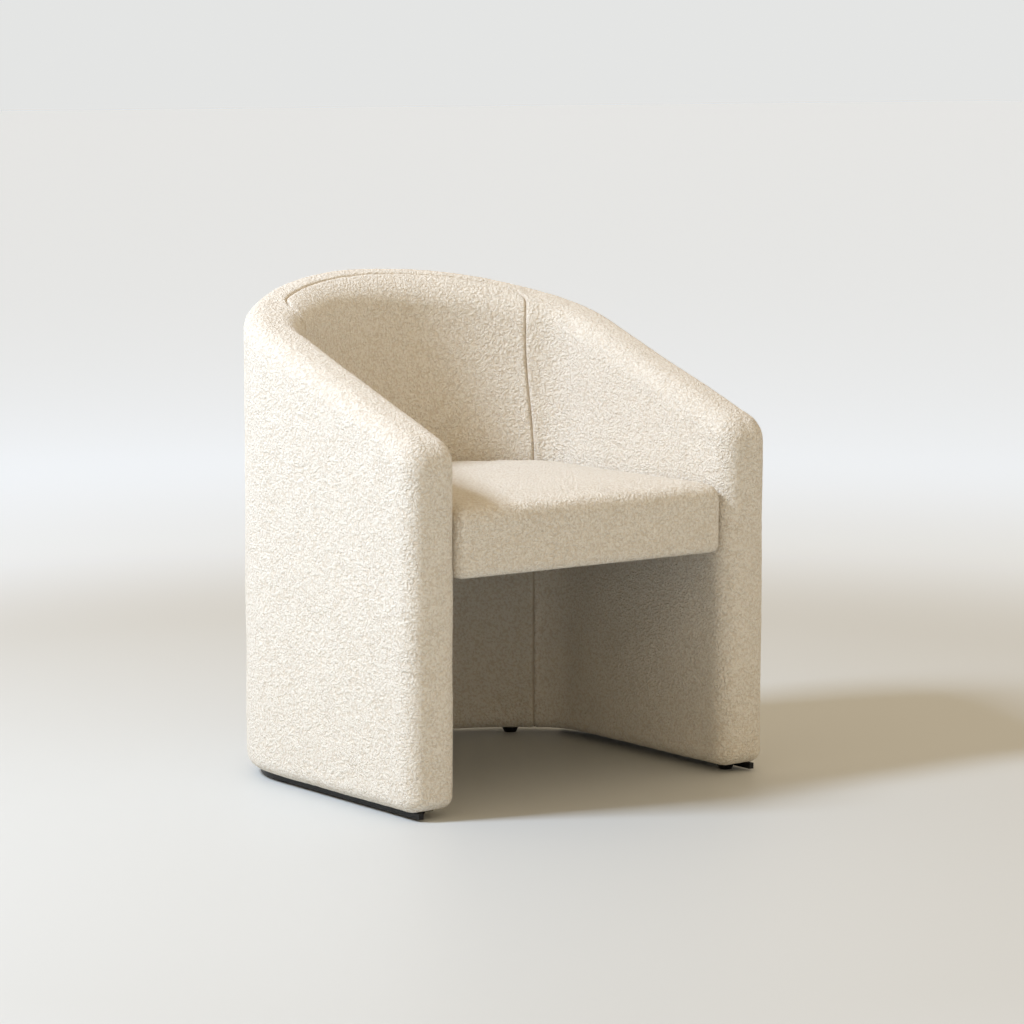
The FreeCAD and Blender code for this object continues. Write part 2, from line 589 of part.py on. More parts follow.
def sinuous_spring(x, start_y, end_y, z):
    """Zigzag wire: level bars across, joined by half rings at alternate ends."""
    bars = max(2, round((end_y - start_y) / SPRING_PITCH))
    pitch = (end_y - start_y) / bars
    edges = []
    for i in range(bars + 1):
        y = start_y + pitch * i
        side = 1 if i % 2 == 0 else -1
        tail = x - side * SPRING_BAR / 2
        head = x + side * SPRING_BAR / 2
        edges.append(Part.makeLine(Vector(tail, y, z), Vector(head, y, z)))
        if i < bars:
            bend = Vector(head + side * pitch / 2, y + pitch / 2, z)
            edges.append(Part.Arc(Vector(head, y, z), bend, Vector(head, y + pitch, z)).toShape())
    path = Part.Wire(edges)
    start = Vector(x - SPRING_BAR / 2, start_y, z)
    section = Part.Wire(Part.makeCircle(SPRING_WIRE_RADIUS, start, Vector(1, 0, 0)))
    return path.makePipeShell([section], True, False), path.Length


spring_z = RAIL_TOP + CLIP_LEAF + SPRING_WIRE_RADIUS
springs = []
clips = []
for i in range(SPRING_COUNT):
    x = (i - (SPRING_COUNT - 1) / 2) * SPRING_SPACING
    end_y = u_line_y(RAIL_DEPTH + RAIL_THICKNESS / 2, x)
    spring, wire_length = sinuous_spring(x, front_rail_middle_y, end_y, spring_z)
    springs.append(spring)
    expected = math.pi * SPRING_WIRE_RADIUS ** 2 * wire_length
    print("spring at x=%.0f: volume %.0f, section times length %.0f" % (x, spring.Volume, expected))
    for y in (front_rail_middle_y, end_y):
        corner = Vector(x - CLIP_WIDTH / 2, y - CLIP_DEPTH / 2, RAIL_TOP)
        clip = Part.makeBox(CLIP_WIDTH, CLIP_DEPTH, CLIP_HEIGHT, corner)
        wire_start = Vector(x - CLIP_WIDTH, y, spring_z)
        wire_room = Part.makeCylinder(SPRING_WIRE_RADIUS, 2 * CLIP_WIDTH, wire_start, Vector(1, 0, 0))
        clips.append(clip.cut(wire_room))
parts["sinuous_springs"] = Part.makeCompound(springs)
parts["spring_clips"] = Part.makeCompound(clips)

# ---------------------------------------------------------------- seat padding and cover
foam_plan = seat_prism(RAIL_DEPTH, SEAT_SETBACK + COVER, 0, REACH).common(seat_inside)
parts["spring_insulator"] = seat_prism(
    RAIL_DEPTH + COVER, RAIL_FRONT, INSULATOR_BOTTOM, SEAT_FOAM_BOTTOM).common(seat_inside)
foam_band = Part.makeBox(
    2 * REACH, 2 * REACH, SEAT_FOAM_TOP - SEAT_FOAM_BOTTOM, Vector(-REACH, -REACH, SEAT_FOAM_BOTTOM))
wadding_band = Part.makeBox(2 * REACH, 2 * REACH, REACH, Vector(-REACH, -REACH, SEAT_FOAM_TOP))
pad_band = Part.makeBox(
    2 * REACH, RAIL_FRONT - SEAT_SETBACK - COVER, SEAT_FOAM_BOTTOM - RAIL_BOTTOM,
    Vector(-REACH, FRONT_Y + SEAT_SETBACK + COVER, RAIL_BOTTOM))
parts["seat_foam"] = foam_plan.common(foam_band)
parts["seat_wadding"] = foam_plan.common(wadding_band)
parts["seat_front_pad"] = foam_plan.common(pad_band)

seat_hem = seat_prism(
    SEAT_DEPTH + HEM_WIDTH, SEAT_SETBACK + HEM_WIDTH, 0, RAIL_BOTTOM)
parts["seat_cover"] = seat_body(0).cut([seat_inside, seat_hem]).cut(through_seat)
parts["seat_dust_cover"] = seat_prism(
    SEAT_DEPTH + dust_edge, SEAT_SETBACK + dust_edge, RAIL_BOTTOM - DUST_CLOTH, RAIL_BOTTOM)

# ---------------------------------------------------------------- files
os.makedirs("parts", exist_ok=True)
for name in sorted(parts):
    shape = parts[name]
    valid = "valid" if shape.isValid() else "NOT VALID"
    print("%-22s %2d solids %12.0f mm3 %s" % (name, len(shape.Solids), shape.Volume, valid))
    shape.exportStep("parts/%s.step" % name)
print(len(parts), "nodes")
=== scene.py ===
# %% [markdown]
# # A barrel armchair in looped cream cloth
# The chair is one curved, padded wall with a seat box bolted between its arms. The frame, the
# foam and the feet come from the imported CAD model. This file makes what the eye meets: the
# sewn covers, their seams and pile, the finishes, and a plain stage with a soft window light.

# %% Load the frame
import math

import bpy
import numpy as np
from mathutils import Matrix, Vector, noise


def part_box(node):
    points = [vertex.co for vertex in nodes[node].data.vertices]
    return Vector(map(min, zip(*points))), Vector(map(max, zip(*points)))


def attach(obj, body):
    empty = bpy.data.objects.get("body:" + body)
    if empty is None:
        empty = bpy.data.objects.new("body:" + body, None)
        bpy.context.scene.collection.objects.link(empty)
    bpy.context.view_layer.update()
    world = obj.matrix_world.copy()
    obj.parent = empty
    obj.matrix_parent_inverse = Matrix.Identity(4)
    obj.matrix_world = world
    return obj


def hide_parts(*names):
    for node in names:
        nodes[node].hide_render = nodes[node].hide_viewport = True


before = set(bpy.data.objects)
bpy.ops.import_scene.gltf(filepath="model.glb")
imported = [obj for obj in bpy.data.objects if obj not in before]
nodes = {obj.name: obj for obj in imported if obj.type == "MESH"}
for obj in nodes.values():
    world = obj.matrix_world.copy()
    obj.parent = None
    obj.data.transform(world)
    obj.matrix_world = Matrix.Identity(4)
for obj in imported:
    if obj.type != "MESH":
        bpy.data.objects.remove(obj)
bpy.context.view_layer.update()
MM = 0.001

# %% [markdown]
# ## The camera
# A long lens from a little above the back keeps the two front posts nearly parallel, as in a
# catalogue picture. A wide lens close by would show the same side of the chair, but it would
# make the near arm look too big. The camera comes first, so that every later step can be judged
# through it.

# %% Camera
CAMERA_AZIMUTH = math.radians(-36.41)
CAMERA_DISTANCE = 5.503
CAMERA_HEIGHT = 1.089
CAMERA_YAW = math.radians(0.63)
CAMERA_PITCH = math.radians(-7.196)
LENS_MM = 126.9
SENSOR_MM = 36.0
CLIP_END = 200.0

camera_data = bpy.data.cameras.new("camera")
camera_data.lens = LENS_MM
camera_data.sensor_width = SENSOR_MM
camera_data.clip_end = CLIP_END
camera = bpy.data.objects.new("camera", camera_data)
bpy.context.scene.collection.objects.link(camera)
camera.location = (
    CAMERA_DISTANCE * math.sin(CAMERA_AZIMUTH),
    -CAMERA_DISTANCE * math.cos(CAMERA_AZIMUTH),
    CAMERA_HEIGHT,
)
camera.rotation_euler = (math.pi / 2 + CAMERA_PITCH, 0.0, CAMERA_AZIMUTH - CAMERA_YAW)
bpy.context.scene.camera = camera
print("camera at", [round(v, 3) for v in camera.location])

# %% [markdown]
# ## The wall's plan
# Seen from above the wall is a U: straight sides, a tighter arc at each corner and a flatter
# arc across the back. It could be drawn as a curve and extruded, but then the seams would have
# to be cut in afterwards. Here a point of the cover is found from two numbers instead: how far
# along the U it lies, and how deep it is behind the outer face. The overall sizes are read from
# the frame.

# %% Plan of the wall
cover_low, cover_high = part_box("outer_cover")
seat_low, seat_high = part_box("seat_cover")
SEAT_GAP = 1.0 * MM
CORNER_RADIUS = 163.0 * MM
CORNER_SWEEP = math.radians(45.0)
HALF_WIDTH = cover_high.x
FRONT_Y = cover_low.y
BACK_Y = -FRONT_Y
WALL = HALF_WIDTH - seat_high.x - SEAT_GAP
MIDDLE = WALL / 2
HEM_Z = cover_low.z
SEAT_BOTTOM = seat_low.z
SEAT_TOP = seat_high.z

corner_x = HALF_WIDTH - CORNER_RADIUS
back_radius = CORNER_RADIUS + corner_x / math.cos(CORNER_SWEEP)
back_centre_y = BACK_Y - back_radius
corner_y = back_centre_y + corner_x * math.tan(CORNER_SWEEP)
back_run = (back_radius - MIDDLE) * (math.pi / 2 - CORNER_SWEEP)
corner_run = (CORNER_RADIUS - MIDDLE) * CORNER_SWEEP
half_run = back_run + corner_run + corner_y - FRONT_Y


def wall_points(along, depth):
    """Plan x and y at a distance along the U from the middle of the back, and a depth."""
    reach = np.abs(along)
    on_back = reach <= back_run
    on_side = reach > back_run + corner_run
    turn = math.pi / 2 - CORNER_SWEEP + (reach - back_run) / (CORNER_RADIUS - MIDDLE)
    angle = np.where(on_back, reach / (back_radius - MIDDLE), np.where(on_side, math.pi / 2, turn))
    radius = np.where(on_back, back_radius, CORNER_RADIUS) - depth
    x = np.where(on_back, 0.0, corner_x) + radius * np.sin(angle)
    y = np.where(on_back, back_centre_y, corner_y) + radius * np.cos(angle)
    y = np.where(on_side, corner_y - (reach - back_run - corner_run), y)
    return np.where(np.asarray(along) < 0, -x, x), y


print("wall %.0f mm thick, U line %.0f mm long" % (WALL / MM, 2 * half_run / MM))

# %% [markdown]
# ## The wall's section
# Cut across, the wall is a tall rounded slab, soft at the crest and tighter at the hem. A
# bevelled box would round it too, but with no say in where its rows of points fall. So the loop
# is written out: it starts in the middle of the hem and runs up the outer face, over the crest
# and down inside. Rows crowd together beside the crest seam, where the cloth dips sharply.

# %% Section of the wall
ARM_HEIGHT = 540.0 * MM
BACK_HEIGHT = 763.0 * MM
CREST_RADIUS = 33.0 * MM
HEM_RADIUS = 21.0 * MM
POST_RADIUS = 30.0 * MM
SMALLEST_RADIUS = 2.0 * MM
CREST_SLOPE = (BACK_HEIGHT - ARM_HEIGHT) / (BACK_Y - FRONT_Y)
OUTER_ROWS = 126
ROWS_ABOVE_SEAT = 64
CREST_ARC = [8 * k for k in range(1, 11)]
INNER_CREST_ARC = [88, 85, 80, 72, 63, 54, 45, 36, 27, 18, 9]
HEM_ARC = [15, 30, 45, 60, 75]
FLAT_SPAN = 19               # mm of flat crest between its two rounded edges
FLAT_SEAM = 14               # mm along it to the crest seam
FLAT_STEPS = (0, 4, 7.5, 9.8, 11.5, 12.8, 13.5, FLAT_SEAM, 14.5, 15.3, 17, FLAT_SPAN)
HEM_RUN = 9


def crest_z(y):
    """Height of the sloping crest plane over a plan point."""
    return ARM_HEIGHT + CREST_SLOPE * (y - FRONT_Y)


def section(along, ease):
    """Loop of depths and heights; ease grows from 0 to 1 as the wall's end rounds over."""
    side, crest_in, hem_in = POST_RADIUS * ease, CREST_RADIUS * ease, HEM_RADIUS * ease
    crest_r = max(CREST_RADIUS - crest_in, SMALLEST_RADIUS)
    hem_r = max(HEM_RADIUS - hem_in, SMALLEST_RADIUS)
    low, near, far = HEM_Z + hem_in, side, WALL - side
    ends = [crest_z(wall_points(along, depth)[1]) - crest_in for depth in (0.0, WALL)]

    def top(depth):
        """Height of the crest at a depth."""
        return float(ends[0] + (ends[1] - ends[0]) * depth / WALL)

    def hem(angle, sign):
        """Point on the outer (sign -1) or inner hem arc."""
        c, s = math.cos(math.radians(angle)), math.sin(math.radians(angle))
        depth = near + hem_r * (1 - c) if sign < 0 else far - hem_r * (1 - c)
        return depth, low + hem_r * (1 - s)

    def crest(angle, sign):
        """Point on the outer (sign -1) or inner crest arc."""
        c, s = math.cos(math.radians(angle)), math.sin(math.radians(angle))
        depth = near + crest_r * (1 - c) if sign < 0 else far - crest_r * (1 - c)
        return depth, top(depth) - crest_r * (1 - s)

    def run(start, end, count):
        """Even steps from start towards end, without end."""
        return [start + (end - start) * k / count for k in range(count)]

    rows = [(d, low) for d in run(MIDDLE, near + hem_r, HEM_RUN)]
    rows += [hem(a, -1) for a in [90] + HEM_ARC[::-1]]
    rows += [(near, z) for z in run(low + hem_r, top(near) - crest_r, OUTER_ROWS)]
    rows += [crest(a, -1) for a in [0] + CREST_ARC]
    flat = (near + crest_r, far - crest_r)
    rows += [(d, top(d)) for d in [flat[0] + (flat[1] - flat[0]) * (f / FLAT_SPAN) for f in FLAT_STEPS]]
    rows += [crest(a, 1) for a in INNER_CREST_ARC]
    rows += [(far, z) for z in run(top(far) - crest_r, SEAT_BOTTOM, ROWS_ABOVE_SEAT)]
    below = OUTER_ROWS - ROWS_ABOVE_SEAT
    rows += [(far, z) for z in run(SEAT_BOTTOM, low + hem_r, below)]
    rows += [hem(a, 1) for a in [0] + HEM_ARC]
    rows += [(d, low) for d in run(far - hem_r, MIDDLE, HEM_RUN)]
    return np.array(rows)


CREST_START = HEM_RUN + 1 + len(HEM_ARC) + OUTER_ROWS
SEAM_ROW = CREST_START + 1 + len(CREST_ARC) + FLAT_STEPS.index(FLAT_SEAM)
INNER_START = CREST_START + 1 + len(CREST_ARC) + len(FLAT_STEPS) + len(INNER_CREST_ARC)
SEAT_ROW = INNER_START + ROWS_ABOVE_SEAT
loop = section(0.0, 0.0)
ROWS = len(loop)
print("section loop of", ROWS, "points, seam row at depth", round(loop[SEAM_ROW][0] / MM, 1))

# %% [markdown]
# ## Stations along the U
# Sections are set about 5 mm apart and closer beside the two upright seams, so that points are
# spent where the cloth bends sharply. A mesh as fine all over would take several times as many.
# Over the last 30 mm of each arm the sections shrink along a quarter circle, which rounds the post's
# front edges.

# %% Stations
STATION_STEP = 5.2 * MM
SEAM_ALONG = 261.0 * MM
SEAM_CLUSTER = np.cumsum([0.7, 0.7, 0.8, 1.0, 1.3, 1.8, 2.6, 3.6]) * MM
END_ANGLES = np.radians([13, 26, 39, 52, 65, 78, 90])


def even_steps(start, end):
    """Even stations from start to end, without start."""
    count = max(1, round((end - start) / STATION_STEP))
    return list(start + (end - start) * (np.arange(count) + 1) / count)


straight = [0.0] + even_steps(0.0, SEAM_ALONG - SEAM_CLUSTER[-1])
straight += list(SEAM_ALONG - SEAM_CLUSTER[-2::-1]) + [SEAM_ALONG] + list(SEAM_ALONG + SEAM_CLUSTER)
straight += even_steps(straight[-1], half_run - POST_RADIUS)
ends = list(half_run - POST_RADIUS * (1 - np.sin(END_ANGLES)))
half_along = np.array(straight + ends)
half_ease = np.array([0.0] * len(straight) + list(1 - np.cos(END_ANGLES)))
along = np.concatenate([-half_along[:0:-1], half_along])
ease = np.concatenate([half_ease[:0:-1], half_ease])
loops = np.array([section(a, e) for a, e in zip(along, ease)])
print(len(along), "stations,", len(along) * ROWS, "points round the wall")

# %% [markdown]
# ## Where the seams run
# The inside back is one panel. Its seam goes up from the seat, round a soft corner, along the
# crest just inside its middle, and down again. The upright parts lean outwards a little on
# their way down. A seam could be painted on as a dark line, but a real one is a fold that
# catches light. So the grid is bent until its own lines follow the panel's rounded corners, and
# each point learns its distance to the seam.

# %% Seam lines
SEAM_CORNER = 34.0 * MM
SEAM_LEAN = 15.0 * MM
LEAN_TOP_Z = 640.0 * MM
LEAN_HEIGHT = 190.0 * MM
LEAN_DEPTH = 20.0 * MM
LEAN_REACH = 60.0 * MM
BEND_MARGIN = 4.0 * MM
BEND_FADE = 26.0 * MM
INNER_SHARE = (back_radius - WALL) / (back_radius - MIDDLE)


def smooth(t):
    """Goes from 0 to 1 with level ends while t goes from 0 to 1."""
    t = np.clip(t, 0, 1)
    return t * t * (3 - 2 * t)


def seam_distance(across, down):
    """Distance to the panel's outline: below 0 inside the panel, above 0 outside it."""
    qx, qy = across + SEAM_CORNER, SEAM_CORNER - down
    outside = np.hypot(np.maximum(qx, 0), np.maximum(qy, 0))
    return np.minimum(np.maximum(qx, qy), 0) + outside - SEAM_CORNER


print("upright seams stand", round(SEAM_ALONG / MM), "mm from the middle of the back")

# %% Distances over the cloth
steps = np.hypot(*np.moveaxis(np.diff(loops, axis=1), 2, 0))
down = np.concatenate([np.zeros((len(along), 1)), np.cumsum(steps, axis=1)], axis=1)
down -= down[:, SEAM_ROW:SEAM_ROW + 1]
across = np.repeat((np.abs(along) - SEAM_ALONG)[:, None] * INNER_SHARE, ROWS, axis=1)
print("cloth from hem to hem, in mm:", round(float(steps[0].sum()) / MM), "at an arm,",
      round(float(steps[len(along) // 2].sum()) / MM), "at the back")

# %% Grid bent round the seam's corners
qx, qy = across + SEAM_CORNER, SEAM_CORNER - down
square = np.maximum(qx, qy)
bend = np.where((qx > 0) & (qy > 0), square / np.maximum(np.hypot(qx, qy), 1e-9), 1.0)
bend = 1 + (bend - 1) * (1 - smooth((square - SEAM_CORNER - BEND_MARGIN) / BEND_FADE))
across_bent = qx * bend - SEAM_CORNER
down_bent = SEAM_CORNER - qy * bend

depth = np.array([np.interp(t, d, l[:, 0]) for t, d, l in zip(down_bent, down, loops)])
height = np.array([np.interp(t, d, l[:, 1]) for t, d, l in zip(down_bent, down, loops)])
lean = SEAM_LEAN * smooth((LEAN_TOP_Z - height) / LEAN_HEIGHT) * smooth((depth - MIDDLE) / LEAN_DEPTH)
lean = lean * np.exp(-np.abs(across) / LEAN_REACH) * (ease[:, None] == 0)
shift = (across_bent - across) / INNER_SHARE + lean
seam = seam_distance(across_bent, down_bent)
x, y = wall_points(along[:, None] + np.sign(along)[:, None] * shift, depth)
tube = np.stack([x, y, height], axis=2)
print("panel outline passes within", round(float(np.abs(seam).min()) / MM, 3), "mm of grid points")

# %% [markdown]
# ## The flat front of each arm
# The cloth over a post's front is one flat piece between the rounded edges. One big face would
# close it, but such a face can't take the pile's small bumps. It is filled with a grid from the
# last section inwards instead, which carries on from the rows of the sides and crest.

# %% Post fronts
HEM_STEPS = 3
CREST_STEPS = 5
CORNERS = (
    HEM_RUN + HEM_STEPS,
    CREST_START + CREST_STEPS,
    INNER_START - CREST_STEPS,
    ROWS - HEM_RUN - HEM_STEPS,
)


def fill_front(ring):
    """Rows of points that fill a closed ring with four named corners."""
    a, b, c, d = CORNERS
    outer = ring[a:b + 1]
    top = ring[b:c + 1]
    inner = ring[c:d + 1][::-1]
    low = np.concatenate([ring[d:], ring[:a + 1]])[::-1]
    u = np.linspace(0, 1, len(outer))[:, None, None]
    v = np.linspace(0, 1, len(top))[None, :, None]
    sides = outer[:, None] * (1 - v) + inner[:, None] * v + low[None] * (1 - u) + top[None] * u
    corners = outer[0] * (1 - u) * (1 - v) + outer[-1] * u * (1 - v)
    return sides - corners - inner[0] * (1 - u) * v - inner[-1] * u * v


def ring_index(row, column, rows, columns):
    """Index on the ring of a border point of the filled grid."""
    a, b, c, d = CORNERS
    if column == 0:
        return a + row
    if row == rows - 1:
        return b + column
    if column == columns - 1:
        return d - row
    return (a - column) % ROWS


print("post fronts are filled between section points", CORNERS)

# %% Faces of the whole wall
OUTER_PANEL, INSIDE_BACK, LOWER_INSIDE = 0, 1, 2
points = list(tube.reshape(-1, 3))
seam_of = list(seam.reshape(-1))
faces, labels = [], []
last = len(along) - 1
for i in range(last):
    for j in range(ROWS):
        k = (j + 1) % ROWS
        faces.append((i * ROWS + j, i * ROWS + k, (i + 1) * ROWS + k, (i + 1) * ROWS + j))
        middle = (seam[i, j] + seam[i + 1, j] + seam[i, k] + seam[i + 1, k]) / 4 if k else 1.0
        inside = j >= SEAM_ROW - 2 and middle < 0
        panel_here = LOWER_INSIDE if j >= SEAT_ROW else INSIDE_BACK
        labels.append(panel_here if inside else OUTER_PANEL)
for i, turned in ((0, False), (last, True)):
    grid = fill_front(tube[i])
    rows, columns = grid.shape[:2]
    number = np.zeros((rows, columns), int)
    for r in range(rows):
        for c in range(columns):
            if r in (0, rows - 1) or c in (0, columns - 1):
                number[r, c] = i * ROWS + ring_index(r, c, rows, columns)
                continue
            number[r, c] = len(points)
            points.append(grid[r, c])
            seam_of.append(1.0)
    for r in range(rows - 1):
        for c in range(columns - 1):
            quad = (number[r, c], number[r, c + 1], number[r + 1, c + 1], number[r + 1, c])
            faces.append(quad[::-1] if turned else quad)
            labels.append(OUTER_PANEL)
points, seam_of, labels = np.array(points), np.array(seam_of), np.array(labels)
print(len(points), "points,", len(faces), "faces in the whole wall")

# %% [markdown]
# ## Padding the wall
# Foam pushes the cloth out between the seams and thread pulls it in along them. So each point
# moves along its normal: down into a crease at a seam, up beside it where the cloth puckers,
# and by a slow, slight waviness everywhere, because hand-laid foam is never quite even. Small
# bumps at the mesh's own scale stand for the loops of the pile, so the outline looks woolly.
# A cloth simulation could do the same, but not for creases only 2 or 3 mm wide: the mesh would
# be too fine and too slow to run. Moves worked out from the seam's distance are exact and quick.

# %% Padding helpers
CREASE_DEPTH = 2.6 * MM
CREASE_WIDTH = 1.6 * MM
PUFF = 1.3 * MM
PUFF_START = 4.0 * MM
PUFF_REACH = 11.0 * MM
PUFF_CLEAR = 3.2 * MM
PUCKER = 0.45
PUCKER_SIZE = 13.0 * MM
WAVE = 1.2 * MM
WAVE_SIZE = 95.0 * MM
PILE = 0.45 * MM
PILE_SIZE = 8.5 * MM
FINE_PILE = 0.5
FINE_PILE_RATIO = 2.2
EASE_OUT = 1.2 * MM
BULGE = 2.0 * MM
BULGE_RISE = 45.0 * MM


def mesh_from(name, points, faces):
    """New smooth-shaded object from points and faces."""
    mesh = bpy.data.meshes.new(name)
    mesh.from_pydata([tuple(p) for p in points], [], [tuple(int(i) for i in f) for f in faces])
    mesh.update()
    mesh.shade_smooth()
    obj = bpy.data.objects.new(name, mesh)
    bpy.context.scene.collection.objects.link(obj)
    return obj


def points_of(mesh):
    """Points of a mesh as an array."""
    out = np.zeros(len(mesh.vertices) * 3)
    mesh.vertices.foreach_get("co", out)
    return out.reshape(-1, 3)


def normals_of(mesh):
    """Vertex normals of a mesh as an array."""
    out = np.zeros(len(mesh.vertices) * 3, np.float32)
    mesh.vertex_normals.foreach_get("vector", out)
    return out.reshape(-1, 3).astype(float)


def waviness(points, size, seed):
    """Smooth noise from -1 to 1 at each point; size is the width of its waves."""
    start = Vector((seed * 3.7, seed * 1.3, seed * 2.1))
    return np.array([noise.noise(Vector(p) / size + start) for p in points])


def pile(points):
    """Height of the pile's coarse bumps at each point."""
    loops_up = waviness(points, PILE_SIZE, 11)
    return PILE * (loops_up + FINE_PILE * waviness(points, PILE_SIZE / FINE_PILE_RATIO, 12))


def stitched(points, distance):
    """How far thread and foam move points that lie at a distance from a seam."""
    pucker = 1 + PUCKER * waviness(points, PUCKER_SIZE, 5)
    crease = CREASE_DEPTH * np.exp(-(distance / CREASE_WIDTH) ** 2)
    beside = np.exp(-(np.maximum(np.abs(distance) - PUFF_START, 0) / PUFF_REACH) ** 2)
    beside = beside * (1 - np.exp(-(distance / PUFF_CLEAR) ** 2))
    return PUFF * pucker * beside - crease


print("creases %.1f mm deep, pile bumps %.2f mm" % (CREASE_DEPTH / MM, PILE / MM))

# %% Padded surface of the wall
HEM_SAG = 1.6 * MM

draft = mesh_from("wall_draft", points, faces)
normals = normals_of(draft.data)
bulge = BULGE * (1 - np.exp(np.minimum(seam_of, 0) / BULGE_RISE)) * (seam_of < 0)
move = EASE_OUT + bulge + stitched(points, seam_of)
move += WAVE * waviness(points, WAVE_SIZE, 3) + pile(points)
wall_surface = points + normals * move[:, None]
wall_surface[:, 2] = np.maximum(wall_surface[:, 2], HEM_Z - HEM_SAG)
bpy.data.objects.remove(draft)
print("the cloth moves %.1f to %.1f mm" % (move.min() / MM, move.max() / MM))

# %% [markdown]
# ## Three pieces of cloth
# The real cover is cut and sewn from several pieces: an outer one that goes over the crest, the
# inside back, and a lining below the seat. One mesh would look the same, but each piece of the
# chair can be found and named only if it is its own object. So the surface is split by label,
# and each part keeps, as an attribute, a weight that fades with the distance to the seam, with
# which the material paints shade along the crease.

# %% Cover of the wall


def panel(name, label, *stands_for):
    """The part of the wall's cover that carries one label, as its own piece."""
    chosen = [f for f, own in zip(faces, labels) if own == label]
    used = np.unique(np.array(chosen))
    place = {int(v): k for k, v in enumerate(used)}
    piece = mesh_from(name, wall_surface[used], [[place[int(v)] for v in f] for f in chosen])
    # weight of the crease, with which the material paints shade along the seam
    crease = piece.data.attributes.new("crease", "FLOAT", "POINT")
    crease.data.foreach_set("value", np.exp(-(seam_of[used] / CREASE_WIDTH) ** 2))
    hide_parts(*stands_for)
    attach(piece, "root")
    print(name, "has", len(chosen), "faces")
    return piece


wall_cover = panel("wall_cover", OUTER_PANEL,
                   "outer_cover", "crest_foam", "post_foam_left", "post_foam_right")
back_panel = panel("inside_back_panel", INSIDE_BACK, "inside_back_cover")
lower_panel = panel("lower_inside_panel", LOWER_INSIDE, "lower_inside_cover")

# %% [markdown]
# ## The seat cushion
# The seat is a boxed, foam-filled cushion with one piece of cloth pulled over it. On the real
# chair the cloth is drawn over wadding and stapled underneath, so the top crowns and the edges
# go soft. A bevelled box would be too even. So a slightly small block is drawn first, from the
# same plan as the wall, and the next step blows it up.

# %% Seat block
SEAT_INSET = 2.0 * MM
SEAT_TOP_EDGE = 24.0 * MM
SEAT_LOW_EDGE = 12.0 * MM
SEAT_FRONT_CORNER = 20.0 * MM
SEAT_LEAST_CORNER = 1.0 * MM
SEAT_LINE_POINTS = 161
SEAT_DEPTH = WALL + SEAT_GAP


def seat_outline(inset):
    """Plan of the seat block: the U inside the wall, closed by a straight front."""
    depth = SEAT_DEPTH + inset
    front = seat_low.y + inset
    corner = max(SEAT_FRONT_CORNER - inset, SEAT_LEAST_CORNER)
    reach = half_run - (front + corner - FRONT_Y)
    stops = np.linspace(-reach, reach, SEAT_LINE_POINTS)
    x, y = wall_points(stops, np.full(SEAT_LINE_POINTS, depth))
    line = list(zip(x, y))
    edge = x[-1]
    turn = np.linspace(0, math.pi / 2, 7)[1:]
    right = [(edge - corner * (1 - math.cos(a)), front + corner * (1 - math.sin(a))) for a in turn]
    left = [(-px, py) for px, py in right[::-1]]
    return line + right + left


def seat_rings():
    """Insets and heights of the block's rings, from the underside to the top."""
    quarter = np.linspace(0, math.pi / 2, 6)
    low, high = SEAT_BOTTOM, SEAT_TOP - SEAT_INSET
    below, above = SEAT_LOW_EDGE, SEAT_TOP_EDGE
    rings = [(below * (1 - math.sin(a)), low + below * (1 - math.cos(a))) for a in quarter]
    rings += [(above * (1 - math.cos(a)), high - above * (1 - math.sin(a))) for a in quarter]
    return [(SEAT_INSET + inset, z) for inset, z in rings]


ring_points, ring_faces = [], []
for inset, z in seat_rings():
    ring_points += [(px, py, z) for px, py in seat_outline(inset)]
count = len(seat_outline(SEAT_INSET))
for r in range(len(seat_rings()) - 1):
    for k in range(count):
        n = (k + 1) % count
        ring_faces.append((r * count + k, r * count + n, (r + 1) * count + n, (r + 1) * count + k))
ring_faces.append(tuple(range(count))[::-1])
ring_faces.append(tuple(len(ring_points) - count + k for k in range(count)))
cushion = mesh_from("seat_cushion", ring_points, ring_faces)
print("seat block of", len(seat_rings()), "rings,", count, "points each")

# %% [markdown]
# ## The cushion blown up
# Cloth over foam is simulated best as a balloon: pressure inside stands for the foam, and the
# cloth's own stiffness shapes the corners. It is held along its underside, where the real cover
# is stapled. Foam under tight cloth does not balloon far, so only a share of the outward move is
# kept, and no point may pass a limit, which is larger on top than at the sides.

# %% Even mesh for the cloth
SEAT_VOXEL = 6.0 * MM


def apply_modifiers(obj):
    """Replaces an object's mesh by what its modifiers make of it."""
    made = obj.evaluated_get(bpy.context.evaluated_depsgraph_get())
    mesh = bpy.data.meshes.new_from_object(made)
    obj.modifiers.clear()
    obj.data = mesh
    mesh.shade_smooth()


remesh = cushion.modifiers.new("even mesh", "REMESH")
remesh.mode = "VOXEL"
remesh.voxel_size = SEAT_VOXEL
apply_modifiers(cushion)
start = points_of(cushion.data)
start_normals = normals_of(cushion.data)
print("seat cushion starts with", len(start), "points")

# %% Cloth under pressure
GRIP_HEIGHT = 40.0 * MM
CLOTH_FRAMES = 20
CLOTH_STIFFNESS = 30
CLOTH_PRESSURE = 4.0

